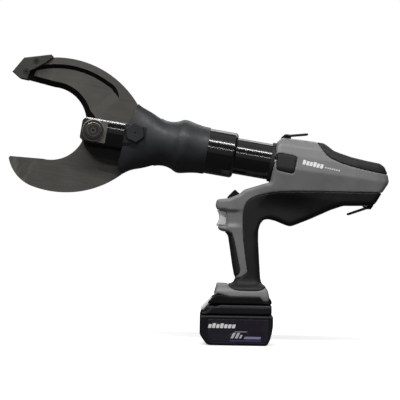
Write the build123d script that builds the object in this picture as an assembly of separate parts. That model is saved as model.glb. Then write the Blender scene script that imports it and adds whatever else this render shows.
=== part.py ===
"""Cordless hydraulic cutter with two hooked, scissoring blades.

Drawn in millimetres with +Z up, -X towards the blades, Y across the tool and heights
counted from the battery pack's underside, then stored with the centre of the hand grip
at the origin. The cutting head is drawn in its own frame (u back along the cylinder axis
from the blade pivot, v up, y across) and then tilted.

A single-acting piston pushes a drive pin forward along the head axis. The pin runs in a
spiral slot in the tail of each blade, so both blades close by the same angle for each
millimetre of stroke.
"""

import math
import os

from build123d import *

# ---- Driving dimensions -------------------------------------------------------------
HEAD_TILT = 9.0                      # the head axis falls this much towards the back
PIVOT = (-226.5, 0, 328.3)           # blade pivot
HAND = (10.0, 0, 150.0)              # centre of the hand grip, the stored origin
HEAD = Location(PIVOT, (0, HEAD_TILT, 0))

GAP = 0.25                           # running clearance between flat moving faces
BLADE_T = 10.75                      # each blade, either side of the shear plane
BLADE_FACE = GAP + BLADE_T
PIVOT_R = 11.0
PIVOT_FIT = 0.05                     # radial running fit on the pivot bolt
CLOSE_ANGLE = 56.0                   # each blade, open to closed

PIN_R, PIN_HALF = 7.0, 8.9           # drive pin: radius and half length
PIN_OPEN, STROKE = 84.0, 44.0        # pin's distance behind the pivot, and its travel
TRACK_HALF, TRACK_Y = PIN_R + 0.3, 9.25
EYE_V, EYE_Y = 9.5, 5.0              # rod eye that runs between the blade tails
EYE_END = 118.0                      # where the eye meets the round rod, blades open
RELIEF_HALF, RELIEF_Y = EYE_V + 0.8, EYE_Y + 0.35

ARM_Y = 33.0                         # radius that the fork arms are turned to
ARM_V = 19.0                         # half height of the arms
FORK_END = 178.5                     # back face of the fork
SLOT_END = 100.0                     # back wall of the blade slot

COLLAR_R, COLLAR_END = 35.0, 223.0
TUBE_R, BORE_R, TUBE_END = 28.0, 23.0, 281.0
ROD_R = 12.0
NECK_R = 16.0                        # swivel neck that enters the drive unit

WALL, SKIN = 4.2, 1.8                # casing wall, and the soft skin sunk into it
BATTERY_L, BATTERY_W = 113.0, 75.0
SHOE_Z = 64.0                        # underside of the battery shoe

PARTS = {}


# ---- Helpers ------------------------------------------------------------------------
def outline(*points, radii=0.0, grow=0.0):
    """A face with these corners, rounded by radii, and offset outwards by grow."""
    face = make_face(FilletPolyline(*points, radius=radii, close=True))
    return offset(face, amount=grow) if grow else face


def slab(face, y_low, y_high):
    """A side-view face (x, z) made solid between two y values."""
    return extrude(Plane.XZ.offset(-y_high) * face, y_high - y_low)


def axial(u_low, u_high, radius, y=0.0, v=0.0):
    """A cylinder along the head axis."""
    place = Location((u_low, y, v), (0, 90, 0))
    return place * Cylinder(radius, u_high - u_low, align=(Align.CENTER, Align.CENTER, Align.MIN))


def across(u, v, radius, y_low, y_high):
    """A cylinder along y."""
    place = Location((u, y_low, v), (-90, 0, 0))
    return place * Cylinder(radius, y_high - y_low, align=(Align.CENTER, Align.CENTER, Align.MIN))


def block(x, y, z):
    """A box from three (low, high) pairs."""
    size = [high - low for low, high in (x, y, z)]
    middle = [(high + low) / 2 for low, high in (x, y, z)]
    return Pos(*middle) * Box(*size)


def rod(start, end, radius):
    """A round bar between two points."""
    run = Vector(*end) - Vector(*start)
    base = Plane(origin=start, z_dir=run)
    return base * Cylinder(radius, run.length, align=(Align.CENTER, Align.CENTER, Align.MIN))


def polar(radius, degrees):
    """A point in the head frame's (u, v) plane."""
    angle = math.radians(degrees)
    return (radius * math.cos(angle), radius * math.sin(angle))


def down_bore(u, v, radius, length):
    """A cylinder square to the head axis, running down from (u, v)."""
    align = (Align.CENTER, Align.CENTER, Align.MIN)
    return Location((u, 0, v), (180, 0, 0)) * Cylinder(radius, length, align=align)


def keep(name, shape, head=False):
    """Registers a node, tilting it with the head if it belongs there."""
    PARTS[name] = HEAD * shape if head else shape


# ---- Blades -------------------------------------------------------------------------
RIM_CENTRE, RIM_R = (-53.0, -43.35), 147.6   # circle of the blade's outer edge
TIP_IN, RUN_END, THROAT = (-123.0, 61.0), (-72.0, 56.5), (-16.5, 19.0)
INNER_MID = (-36.5, 46.4)


def rim_point(u, radius=RIM_R):
    """The point at u on a circle about the rim's centre."""
    return (u, RIM_CENTRE[1] + math.sqrt(radius**2 - (u - RIM_CENTRE[0]) ** 2))


def spiral_track(half):
    """The drive pin's path seen from a blade that turns steadily, given some width."""
    path, left, right = [], [], []
    steps = 8
    for i in range(steps + 1):
        radius = PIN_OPEN - STROKE * i / steps
        angle = -CLOSE_ANGLE * i / steps
        inward = Vector(*polar(-STROKE, angle))
        sideways = Vector(*polar(-radius * math.radians(CLOSE_ANGLE), angle + 90))
        run = (inward + sideways).normalized()
        point = Vector(*polar(radius, angle))
        path.append((point, run))
        left.append(point + run.rotate(Axis.Z, 90) * half)
        right.append(point + run.rotate(Axis.Z, -90) * half)
    first, last = path[0], path[-1]
    return make_face(
        Curve() + [
            Spline(*left),
            ThreePointArc(left[-1], last[0] + last[1] * half, right[-1]),
            Spline(*right[::-1]),
            ThreePointArc(right[0], first[0] - first[1] * half, left[0]),
        ]
    )


def tail_relief():
    """Space swept between the blade tails by the rod eye."""
    swept = slab(spiral_track(RELIEF_HALF), -RELIEF_Y, 1)
    steps = 8
    for i in range(steps + 1):
        strip = block((PIN_OPEN - STROKE * i / steps, 130), (-RELIEF_Y, 1), (-RELIEF_HALF, RELIEF_HALF))
        swept += Rot(0, CLOSE_ANGLE * i / steps, 0) * strip
    return swept


def blade_face():
    """Side view of the upper blade: hook, pivot boss and slotted tail."""
    heel, tail_low, tail_high = (21.0, -43.2), (94.5, -7.5), (93.0, 9.5)
    edge = [
        Line(TIP_IN, RUN_END),
        ThreePointArc(RUN_END, INNER_MID, THROAT),
        ThreePointArc(THROAT, (-18.8, 0), (-13.0, -21.5)),
        ThreePointArc((-13.0, -21.5), (1.5, -36.8), heel),
        ThreePointArc(heel, (63.0, -37.0), tail_low),
        ThreePointArc(tail_low, (97.0, 1.0), tail_high),
        Line(tail_high, rim_point(80.0)),
        ThreePointArc(rim_point(80.0), rim_point(0), rim_point(-84.0)),
        ThreePointArc(rim_point(-84.0), (-110.0, 86.8), (-124.8, 64.0)),
        Line((-124.8, 64.0), TIP_IN),
    ]
    return make_face(Curve() + edge)


def blade():
    """Upper blade: bevelled inner edge and a sunk panel on its outer face."""
    bevel_slope, edge_land, bevel_end = 58.0, 1.3, -100.0
    panel_depth, panel_slope = 4.0, 57.0
    body = slab(blade_face(), -BLADE_FACE, -GAP)

    # the mouth widens towards the outer face, which leaves a cutting bevel
    bevel_start = (bevel_end, 58.9)
    mouth = make_face(
        Curve() + [
            Line(bevel_start, RUN_END),
            ThreePointArc(RUN_END, INNER_MID, THROAT),
            Polyline(THROAT, (-16.5, 10.0), (bevel_end, 10.0), bevel_start),
        ]
    )
    plane = Plane.XZ.offset(GAP + edge_land)
    body -= extrude(plane * mouth, BLADE_T - edge_land + 1, taper=-bevel_slope)

    # sunk panel, with a sloped wall along the rim; its floor runs into the cutting bevel
    spread = panel_depth * math.tan(math.radians(panel_slope))
    panel_rim = RIM_R - 16.6 + spread
    panel = make_face(
        Curve() + [
            ThreePointArc(rim_point(-107, panel_rim), rim_point(-50, panel_rim), rim_point(10, panel_rim)),
            ThreePointArc(rim_point(10, panel_rim), (29.0, 58.0), (24.0, 36.0)),
            ThreePointArc((24.0, 36.0), (8.0, 20.0), (-18.4, 17.8)),
            ThreePointArc((-18.4, 17.8), (-38.0, 44.6), (-72.0, 54.2)),
            Line((-72.0, 54.2), (-105.0, 57.0)),
            ThreePointArc((-105.0, 57.0), (-112.5, 67.0), rim_point(-107, panel_rim)),
        ]
    )
    plane = Plane.XZ.offset(BLADE_FACE)
    sunk = extrude(plane * panel, -panel_depth, taper=panel_slope)
    # its floor rises to the outer face beside the pivot
    ramp = Plane(origin=(24.0, -BLADE_FACE, 49.0), z_dir=(0.214, 1.0, -0.191))
    sunk -= extrude(ramp * Rectangle(200, 200), 60)
    body -= sunk

    body -= across(0, 0, PIVOT_R + PIVOT_FIT, -BLADE_FACE - 1, 0)
    body -= tail_relief()
    body -= slab(spiral_track(TRACK_HALF), -TRACK_Y, 0)
    return body


GUIDE_SCREWS = [(-106.8, 91.0), (-119.0, 71.5)]
GUIDE_T = 5.0


def make_blades():
    upper = blade()
    for u, v in GUIDE_SCREWS:
        upper -= across(u, v, 3.0, -BLADE_FACE - 1, -3)
    keep("upper_blade", upper, head=True)
    keep("lower_blade", Rot(180, 0, 0) * blade(), head=True)

    # guide: a stirrup on the upper tip that the lower tip passes through
    sweep_r = 141.5
    face = outline(
        (-140.8, 68.3), (-126.5, 93.0), (-85.4, 105.2), (-81.8, 100.7),
        (-90.9, 91.2), (-103.4, 81.1), (-114.2, 73.5), (-115.6, 60.0), (-128.5, 60.6),
    )
    far = BLADE_FACE + 0.4 + GUIDE_T
    guide = slab(face, -BLADE_FACE - GUIDE_T, far)
    guide -= across(0, 0, sweep_r, -BLADE_FACE, far - GUIDE_T)
    outer = guide.faces().sort_by(Axis.Y)[0]
    guide = chamfer(outer.edges(), 1.2)
    screws = []
    head_r, head_t = 5.0, 3.4
    for u, v in GUIDE_SCREWS:
        seat = -BLADE_FACE - GUIDE_T
        guide -= across(u, v, 3.0, seat - 1, -3.4)
        guide -= across(u, v, head_r + 0.2, seat - 1, seat + head_t)
        screw = across(u, v, head_r, seat + 0.2, seat + head_t)
        screw += across(u, v, 3.0, seat + head_t, -3.5)
        socket = Location((u, seat, v), (90, 0, 0)) * extrude(RegularPolygon(2.6, 6), -2.6)
        screws.append(screw - socket)
    keep("blade_guide", guide, head=True)
    keep("guide_screws", Part() + screws, head=True)


# ---- Pivot --------------------------------------------------------------------------
PLATE_T = 3.0
SEAT_Y = 28.0                        # spot face for the pivot hardware
SEAT_TOP = 16.2                      # the near spot face stops below the arm's upper edge


def make_pivot():
    top = SEAT_TOP - 0.3
    plate = slab(outline((-19.3, -17), (20.5, -17), (20.5, top), (-19.3, top), radii=[5, 1.5, 1.5, 5]),
                 -SEAT_Y - PLATE_T, -SEAT_Y)
    plate -= across(0, 0, PIVOT_R, -SEAT_Y - PLATE_T - 1, 0)
    keep("keeper_plate", plate, head=True)

    flange = -SEAT_Y - PLATE_T
    bolt = across(0, 0, 17.0, flange - 4.0, flange)
    bolt = chamfer(bolt.edges().sort_by(Axis.Y)[0], 1.2)
    bolt += across(0, 0, 12.4, flange - 7.0, flange - 4.0)
    bolt = fillet(bolt.edges().sort_by(Axis.Y)[0], 1.0)
    bolt += across(0, 0, PIVOT_R, flange, SEAT_Y + 12)
    bolt -= across(0, 0, 15.0, flange - 5, flange - 3.2) - across(0, 0, 13.6, flange - 5, flange - 3)
    bolt -= across(0, 0, 10.2, flange - 8, flange - 6.2) - across(0, 0, 9.2, flange - 8, flange - 6)
    bolt -= Location((0, flange - 7, 0), (90, 0, 0)) * extrude(RegularPolygon(2.9, 6), -4)
    keep("pivot_bolt", bolt, head=True)

    washer = across(0, 0, 17.5, SEAT_Y, SEAT_Y + 2.5) - across(0, 0, PIVOT_R, SEAT_Y - 1, SEAT_Y + 4)
    keep("pivot_washer", washer, head=True)
    nut = Location((0, SEAT_Y + 2.5, 0), (-90, 0, 0)) * extrude(RegularPolygon(17.0, 6), 10)
    nut &= across(0, 0, 16.2, SEAT_Y, SEAT_Y + 14)
    nut -= across(0, 0, PIVOT_R, SEAT_Y, SEAT_Y + 20)
    keep("pivot_nut", nut, head=True)


# ---- Fork and cylinder --------------------------------------------------------------
HEX_PLUG = (64.2, 7.4)


def make_fork():
    # forged body: (u, half height, half width) of its oval sections
    sections = [
        (44, 66, 29.5), (60, 58, 30), (80, 48, 31.5), (95, 40.8, 33.5), (108, 35.8, 34.5),
        (120, 35.6, 35.4), (130, 39, 39), (137, 41.8, 41.8), (146, 41, 41), (155, 38.9, 38.9),
        (163, 37.5, 37.5), (171, 36.7, 36.7), (FORK_END, 36.2, 36.2),
    ]
    ovals = [Plane(origin=(u, 0, 0), z_dir=(1, 0, 0), x_dir=(0, 1, 0)) * Ellipse(wide, high)
             for u, high, wide in sections]
    fork = loft(ovals)
    # side outline: open front, long lower lips, waist behind the slot and bulge around the gland
    waist = [(80, 47.0), (95, 39.6), (101, 37.2), (107, 35.6), (114, 35.0), (121, 35.8), (130, 39.8), (137, 42.5)]
    lower = [(u, -v) for u, v in waist]
    side = outline((50, ARM_V), (57, 36), (61.5, 56.5), *waist, (190, 43), (190, -43), *lower[::-1],
                   (56, -58), (47.5, -54.5), (44.8, -43), (46.5, -32), (48, -ARM_V),
                   radii=[0, 20, 1.5] + [0] * 18 + [3, 5, 8, 10, 0])
    fork &= slab(side, -60, 60)

    arm = outline((-19.5, -10), (-19.5, 14), (-13, ARM_V), (60, ARM_V), (60, -ARM_V), (-13, -ARM_V),
                  radii=[6, 6, 4, 0, 0, 4])
    arms = slab(arm, -40, 40) & axial(-30, 60, ARM_Y, v=2.6)
    arms -= block((-30, 21), (-40, -SEAT_Y), (-30, SEAT_TOP))
    arms -= block((-30, 21), (SEAT_Y, 40), (-30, 30))
    fork += arms

    fork -= block((-40, SLOT_END), (-BLADE_FACE - GAP, BLADE_FACE + GAP), (-80, 80))
    fork -= axial(EYE_END - 6 - STROKE, 151, ROD_R + 0.4)
    fork -= axial(150, 166, 24.0)
    fork -= axial(166, 190, TUBE_R)
    fork -= across(0, 0, PIVOT_R, -60, 60)
    u, v = HEX_PLUG
    fork -= across(u, v, 6.0, -60, -15)
    fork -= block((u - 17, u + 17), (-60, -29.0), (v - 17, v + 17))
    keep("head_fork", fork, head=True)

    plug = Location((u, -29.0, v), (90, 0, 0)) * extrude(Rot(0, 0, 45) * RegularPolygon(15.8, 6), 7.5)
    plug = chamfer(plug.faces().sort_by(Axis.Y)[0].edges(), 1.3)
    plug += across(u, v, 6.0, -29.0, -20.6)
    plug -= across(u, v, 1.2, -40, -33)
    keep("hex_plug", plug, head=True)


def make_cylinder():
    collar = axial(FORK_END, COLLAR_END, COLLAR_R)
    collar = fillet(collar.edges().sort_by(Axis.X)[-1], 5.0)
    collar -= axial(FORK_END - 1, COLLAR_END + 1, TUBE_R)
    keep("cylinder_collar", collar, head=True)

    tube = axial(166, TUBE_END, TUBE_R)
    tube = chamfer(tube.edges().sort_by(Axis.X)[-1], 1.5)
    tube -= axial(165, TUBE_END + 1, BORE_R)
    keep("cylinder_tube", tube, head=True)

    gland = axial(150.2, 165.8, 24.0) - axial(149, 167, ROD_R + 0.05)
    gland -= axial(155, 159, 15.0)
    keep("rod_gland", gland, head=True)
    keep("rod_seal", axial(155.2, 158.8, 14.9) - axial(150, 160, ROD_R + 0.05), head=True)

    base = axial(269, TUBE_END, BORE_R) + axial(TUBE_END, 302, NECK_R)
    base -= axial(268, 303, 3.0)
    base = chamfer(base.edges().sort_by(Axis.X)[-1:], 0.5)
    keep("cylinder_base", base, head=True)
    snap = axial(302.2, 304.2, NECK_R + 2.2) - axial(302, 305, 4.0)
    keep("neck_retainer", snap, head=True)


def make_piston():
    piston = axial(252, 267, BORE_R - 0.05)
    piston -= axial(257, 262, 30) - axial(256, 263, 19.5)
    piston -= axial(250, 262, 8.0)
    keep("piston", piston, head=True)
    seal = axial(257.2, 261.8, BORE_R - 0.05) - axial(257, 262, 19.5)
    keep("piston_seal", seal, head=True)

    spigot_r, spigot_l = 7.0, 10.0
    rod_start = EYE_END + 8
    shaft = axial(rod_start, 252, ROD_R) + axial(252, 261, 8.0)
    shaft += axial(rod_start - spigot_l, rod_start, spigot_r)
    keep("piston_rod", shaft, head=True)

    side = outline((PIN_OPEN - EYE_V, -EYE_V), (EYE_END, -EYE_V), (EYE_END, EYE_V),
                   (PIN_OPEN - EYE_V, EYE_V), radii=[EYE_V - 0.01, 0, 0, EYE_V - 0.01])
    eye = slab(side, -EYE_Y, EYE_Y)
    eye += axial(EYE_END - 4, rod_start, ROD_R)
    eye -= across(PIN_OPEN, 0, PIN_R, -40, 40)
    eye -= axial(rod_start - spigot_l, rod_start + 1, spigot_r)
    keep("rod_eye", eye, head=True)
    keep("drive_pin", across(PIN_OPEN, 0, PIN_R, -PIN_HALF, PIN_HALF), head=True)

    wire, turns, low, high = 1.6, 9, 167.5, 250.3
    coil_r = ROD_R + 5.5
    path = Helix((high - low) / turns, high - low, coil_r)
    section = Plane(origin=path @ 0, z_dir=path % 0) * Circle(wire)
    spring = Location((low, 0, 0), (0, 90, 0)) * sweep(section, path=path)
    keep("return_spring", spring, head=True)


# ---- Casing envelope ----------------------------------------------------------------
def head_prism(face):
    """A (y, v) section swept along the head axis, in the row frame."""
    plane = Plane(origin=(230, 0, 0), z_dir=(1, 0, 0), x_dir=(0, 1, 0))
    return HEAD * extrude(plane * face, 300)


def barrel(inset):
    side = outline(
        (48.5, 254), (56.5, 308), (66, 323.4), (119, 316.8), (135, 314.6), (146, 302), (173, 294),
        (220, 284.8), (227, 278.5), (232.8, 257), (222, 239.5), (211.4, 222), (202, 218.6),
        (161.6, 218), (143, 211.6), (82, 184), (57, 192.5), (43, 197), (41, 220),
        radii=[4, 12, 9, 0, 7, 14, 0, 6, 3, 5, 0, 6, 4, 0, 0, 9, 0, 5, 0], grow=-inset,
    )
    half = [(17, 47), (29, 36), (38.5, -3), (33.5, -44), (21, -75), (14, -104)]
    section = outline(*half, *[(-y, v) for y, v in half[::-1]],
                      radii=[6, 14, 10, 14, 10, 5, 5, 10, 14, 10, 14, 6], grow=-inset)
    plan = outline((40, -39), (185, -37), (234, -25), (234, 25), (185, 37), (40, 39),
                   radii=[0, 30, 12, 12, 30, 0], grow=-inset)
    return slab(side, -60, 60) & head_prism(section) & extrude(Pos(0, 0, 150) * plan, 200)


def handle(inset):
    """Grip, trigger housing and the neck that joins them to the barrel."""
    side = outline(
        (62, 262), (47, 256), (25, 246), (9.8, 242), (2, 235), (-15, 227), (-33.6, 225), (-36, 216),
        (-33.5, 208.5), (-19.5, 208.5), (-19.5, 184), (-33, 184), (-29.5, 177), (-24, 175.5),
        (-15.4, 168), (-12, 146.5), (-8.4, 123), (-4, 104), (-8, 80), (39, 80), (35, 104),
        (33.6, 131.6), (31.5, 162.8), (31.2, 180), (37, 194), (62, 192),
        radii=[0, 6, 5, 4, 4, 4, 4, 3, 2, 0, 0, 2, 2, 3, 5, 0, 0, 4, 0, 0, 4, 0, 0, 5, 8, 0],
        grow=-inset,
    )
    plan = outline((-40, -13), (-12, -20), (34, -20), (70, -20), (70, 20), (34, 20), (-12, 20), (-40, 13),
                   radii=[4, 6, 0, 0, 0, 0, 6, 4], grow=-inset)
    return slab(side, -30, 30) & extrude(Pos(0, 0, 60) * plan, 230)


def foot(inset):
    side = outline((-31.5, 95), (-37.2, 74), (36, 74), (42, 66.3), (48.7, 66.3), (50.2, 76), (45.3, 89),
                   (38.9, 95), radii=[2, 1, 0, 0, 1.5, 2, 3, 2], grow=-inset)
    half = [(30, 97), (36.5, 82), (36.5, 60)]
    section = outline(*half, *[(-y, z) for y, z in half[::-1]], radii=[6, 5, 0, 0, 5, 6], grow=-inset)
    plane = Plane(origin=(-60, 0, 0), z_dir=(1, 0, 0), x_dir=(0, 1, 0))
    return slab(side, -60, 60) & extrude(plane * section, 140)


def envelope(inset):
    return barrel(inset) + handle(inset) + foot(inset)


LEFT, RIGHT = (-80, 0), (0, 80)
SCREW_SPOTS = [(150, 224), (206, 230), (214, 266), (104, 309), (56, 204), (10, 118), (24, 165)]
TRIGGER_Z = (184.5, 208.0)


def grip_region():
    """Side view of the soft overmould on the handle's back and the barrel's belly."""
    return outline(
        (240, 239.5), (80, 239.5), (49, 236.5), (27, 231), (14.8, 224), (8.7, 213.9), (6.7, 196.7),
        (8.1, 162.4), (13.4, 123.5), (15.2, 110), (4.4, 103), (-14, 103), (-14, 88), (60, 90),
        (60, 150), (240, 150),
        radii=[0, 60, 20, 20, 12, 10, 12, 40, 12, 6, 6, 0, 0, 0, 0, 0],
    )


def pad_region():
    """Side view of the pad on top of the barrel's back."""
    return outline((119, 330), (119, 316.8), (129, 303), (142, 291), (157.5, 283.6), (181, 277),
                   (204, 272), (240, 266.5), (240, 330), radii=[0, 0, 20, 20, 30, 60, 60, 0, 0])


def strip_region():
    """Side view of the soft insert in the handle's front."""
    return outline((-30, 178), (-30, 174.6), (-10, 174.6), (-6, 162.2), (-0.9, 138.8), (4.2, 113),
                   (-6, 104.5), (-30, 104.5), radii=[0, 0, 4, 10, 0, 4, 0, 0])


def make_casing():
    outer, skin_floor, inner = envelope(0), envelope(SKIN), envelope(WALL)
    shell = outer - inner
    shell -= HEAD * axial(270, 300, 32.5)                       # mouth for the swivel neck
    shell -= block((-40, 0), (-9.6, 9.6), (TRIGGER_Z[0] - 0.6, TRIGGER_Z[1] + 0.6))
    shell -= block((-15, 2.8), (-7.4, 7.4), (222, 250))         # slot for the release button
    shell -= block((-34, 36), (-30, 30), (60, 80))              # floor of the foot, over the shoe
    skin = outer - skin_floor
    skin -= HEAD * axial(270, 300, 34)

    grip = skin & slab(grip_region(), -60, 60)
    pad = skin & slab(pad_region(), -60, 60)
    strip = skin & slab(strip_region(), -60, 60)
    side_pad_region = outline((57.5, 297), (89.5, 292.5), (84.5, 267.5), (57.5, 272), radii=3)
    side_pads = skin & slab(side_pad_region, -60, 60)
    shell = shell - grip - pad - strip - side_pads

    bosses, screws = [], []
    for x, z in SCREW_SPOTS:
        boss = across(x, z, 4.2, -60, 60) & envelope(WALL - 0.5)
        bosses.append(boss - across(x, z, 1.5, -60, 60))
        screws.append((x, z))
    for boss in bosses:
        shell += boss
    drill = [across(x, z, 1.5, -14, 80) + across(x, z, 3.2, 9, 80) for x, z in screws]
    for tool in drill:
        shell -= tool
        grip -= tool
        pad -= tool
    keep("casing_left", shell & block((-60, 260), LEFT, (50, 340)))
    keep("casing_right", shell & block((-60, 260), RIGHT, (50, 340)))
    keep("grip_left", grip & block((-60, 260), LEFT, (50, 340)))
    keep("grip_right", grip & block((-60, 260), RIGHT, (50, 340)))
    keep("top_pad", pad)
    keep("front_grip", strip)
    keep("side_pads", side_pads)
    screw_set = [across(x, z, 1.5, -13.5, 9) + across(x, z, 3.0, 9, 11.5) for x, z in screws]
    keep("casing_screws", Part() + screw_set)


# ---- Drive unit ---------------------------------------------------------------------
PUMP = (292.0, 322.0)
GEARBOX = (322.0, 346.0)
MOTOR = (346.0, 404.0)


def make_drive():
    ring = axial(277.8, 283, 30.6) - axial(277, 284, TUBE_R + 0.4)
    keep("swivel_ring", ring, head=True)

    valve_run = Vector(math.cos(math.radians(22.8)), 0, math.sin(math.radians(22.8)))
    valve_start = Vector(54.0, 0, 251.7)
    valve_end = valve_start + valve_run * 16
    valve = rod(tuple(valve_start), tuple(valve_end), 4.0)
    keep("release_valve", valve)

    block_body = axial(*PUMP, 29.0)
    block_body = chamfer(block_body.edges(), 1.0)
    block_body -= axial(PUMP[0] - 1, 302, NECK_R + 3.0)
    block_body -= axial(302, 305, NECK_R + 2.6)
    block_body -= axial(308, PUMP[1] + 1, 13.6)
    block_body -= axial(300, 310, 3.0)
    block_body -= down_bore(315, -12, 4.0, 20)
    keep("pump_block", HEAD * block_body - rod(tuple(valve_start), tuple(valve_end), 4.0))
    keep("swivel_bush", axial(PUMP[0], 302, NECK_R + 3.0) - axial(PUMP[0] - 1, 303, NECK_R + 0.05), head=True)
    keep("pump_plunger", down_bore(315, -13.3, 3.95, 14), head=True)

    gearbox = axial(*GEARBOX, 26.0) - axial(GEARBOX[0] - 1, GEARBOX[1] - 3, 22.0)
    gearbox -= axial(GEARBOX[0], GEARBOX[1] + 1, 6.0)
    keep("gearbox_housing", gearbox, head=True)
    carrier = axial(324, 329, 20.0) + axial(309, 324, 5.0) + axial(311, 319, 9.5, v=1.5)
    keep("eccentric_shaft", carrier, head=True)
    bearing = axial(311, 319, 11.3, v=1.5) - axial(310, 320, 9.5, v=1.5)
    keep("eccentric_bearing", bearing, head=True)
    planets = []
    for turn in range(3):
        y, v = polar(12.5, 90 + 120 * turn)
        carrier_pin = axial(329.2, 340, 7.6, y=y, v=v)
        planets.append(carrier_pin)
    keep("planet_gears", Part() + planets, head=True)

    can = axial(*MOTOR, 21.5) - axial(MOTOR[0] + 2, MOTOR[1] + 1, 19.5)
    can -= axial(MOTOR[0] - 1, MOTOR[0] + 3, 6.0)
    keep("motor_can", can, head=True)
    cap = axial(MOTOR[1], 412, 21.5) - axial(MOTOR[1] - 1, 409, 4.5)
    keep("motor_end_cap", cap, head=True)
    keep("motor_armature", axial(352, 398, 16.0) - axial(350, 400, 2.5), head=True)
    shaft = axial(331, 408, 2.5) + axial(331, 340, 4.4)
    keep("motor_shaft", shaft, head=True)

    side = outline((67, 207), (84, 195), (126, 213), (126, 236), (67, 236), radii=6)
    keep("oil_reservoir", slab(side, -12.5, 12.5))
    keep("control_board", block((138, 200), (-24, 24), (229, 231)))
    keep("trigger_switch", block((0.5, 24), (-9, 9), (186, 206)))


def make_controls():
    low, high = TRIGGER_Z
    front = outline((-34, high), (-30.5, 204), (-29.5, 196), (-32.6, 188), (-34, low), (-8, low), (-8, high),
                    radii=[1.5, 6, 12, 6, 1.5, 0, 0])
    trigger = slab(front, -9.0, 9.0)
    trigger += block((-8, -5), (-13.5, 13.5), (low + 1, high - 1))
    keep("trigger", trigger)
    spring_r, wire = 3.2, 0.5
    path = Helix(1.1, 4.4, spring_r)
    coil = Plane(origin=path @ 0, z_dir=path % 0) * Circle(wire)
    keep("trigger_spring", Location((-4.45, 0, 196), (0, 90, 0)) * sweep(coil, path=path))

    face = outline((-14.6, 219), (-14.6, 231.5), (-6.5, 240.4), (-4.5, 240.4), (-1.4, 237), (-1.4, 219),
                   radii=[0, 2, 1.5, 1.5, 2, 0])
    keep("release_button", slab(face, -7.0, 7.0) + block((-17, 0), (-8.6, 8.6), (218.5, 220.5)))


# ---- Battery pack -------------------------------------------------------------------
def make_battery():
    side = outline((-45.6, SHOE_Z), (-38.3, 73.6), (35.8, 73.6), (41.8, 65.9), (49.1, 65.9), (50.6, 73.2),
                   (53.4, 68.5), (53.4, SHOE_Z), radii=[0.8, 1.5, 0, 0, 0, 0.6, 3, 0.8])
    shoe = slab(side, -35.6, 35.6)
    shoe += block((-33.5, 35.5), (-29.8, 29.8), (73.5, 77.6))
    shoe -= block((-60, 30), (-26.5, 26.5), (SHOE_Z - 1, 71))
    shoe -= block((-60, -36.9), (-14.6, 14.6), (SHOE_Z - 1, 74))
    blades = [block((14, 29), (y - 0.6, y + 0.6), (66.2, 76)) for y in (-12, 0, 12)]
    for terminal in blades:
        shoe -= terminal
    keep("battery_shoe", shoe)
    keep("shoe_terminals", Part() + blades)

    half_w = BATTERY_W / 2
    side = outline((-57.4, 47.6), (-57.4, 18), (-49, 4), (-43, 0), (46, 0), (51.5, 9), (56, 28), (56, 47.6),
                   radii=[1.5, 8, 3, 3, 4, 6, 8, 1.5])
    end = outline((-half_w, 47.6), (-half_w, 3), (-half_w + 3, 0), (half_w - 3, 0), (half_w, 3), (half_w, 47.6),
                  radii=[0, 2, 2, 2, 2, 0])
    plane = Plane(origin=(-60, 0, 0), z_dir=(1, 0, 0), x_dir=(0, 1, 0))
    solid = slab(side, -60, 60) & extrude(plane * end, 130)
    keep("battery_case", solid - block((-50.5, 50), (-34.5, 34.5), (3.5, 60)))

    side = outline((-57, 48), (-50.6, 56), (-45.5, 63.4), (53.2, 63.4), (53.6, 50), (51, 48), radii=[1, 0, 2, 3, 2, 0])
    end = outline((-36.5, 40), (-36.5, 60), (-31, 66), (31, 66), (36.5, 60), (36.5, 40), radii=[0, 3, 0, 0, 3, 0])
    cover = slab(side, -60, 60) & extrude(plane * end, 130)
    cover += block((-32, 29), (-20, 20), (63.4, 70.3))
    cover -= block((-46, 49.5), (-32, 32), (40, 60.4))
    for y in (-12, 0, 12):
        cover -= block((-20, 40), (y - 1.6, y + 1.6), (65.4, 72))
    cover -= block((-60, -43.4), (-14.5, 14.5), (49.6, 66))
    keep("battery_cover", cover)

    cells = []
    for column in range(5):
        for row in range(2):
            x, z = -38.5 + 19.2 * column, 13.5 + 19.2 * row
            cells.append(across(x, z, 9.1, -32.6, 32.6))
    keep("battery_cells", Part() + cells)
    keep("battery_board", block((-30, 40), (-28, 28), (53, 54.6)))

    face = outline((-40.8, 72.0), (-55.6, 57.4), (-56.2, 54.6), (-54.6, 53.2), (-43.9, 53.2),
                   (-43.9, 67.2), (-40.8, 67.2), radii=[0.8, 1.5, 0.8, 0.5, 0, 0, 0.5])
    keep("battery_latch", slab(face, -14.0, 14.0))


# ---- Strap rings --------------------------------------------------------------------
WIRE = 1.6


def strap_ring(hinge, reach, half_width):
    """A wire bail from its hinge bar, lying along reach."""
    hinge, reach = Vector(*hinge), Vector(*reach)
    side = Vector(0, half_width, 0)
    path = FilletPolyline(
        tuple(hinge), tuple(hinge + side), tuple(hinge + side + reach), tuple(hinge - side + reach),
        tuple(hinge - side), radius=[0, WIRE * 2, 7, 7, WIRE * 2], close=True,
    )
    section = Plane(origin=hinge, z_dir=(0, 1, 0)) * Circle(WIRE)
    return sweep(section, path=path)


TOP_HINGE, TOP_REACH = (73.5, 0, 325.6), (31.5, 0, 3.0)
REAR_HINGE, REAR_REACH = (202.5, 0, 216.6), (-31.5, 0, -11.2)


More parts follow.
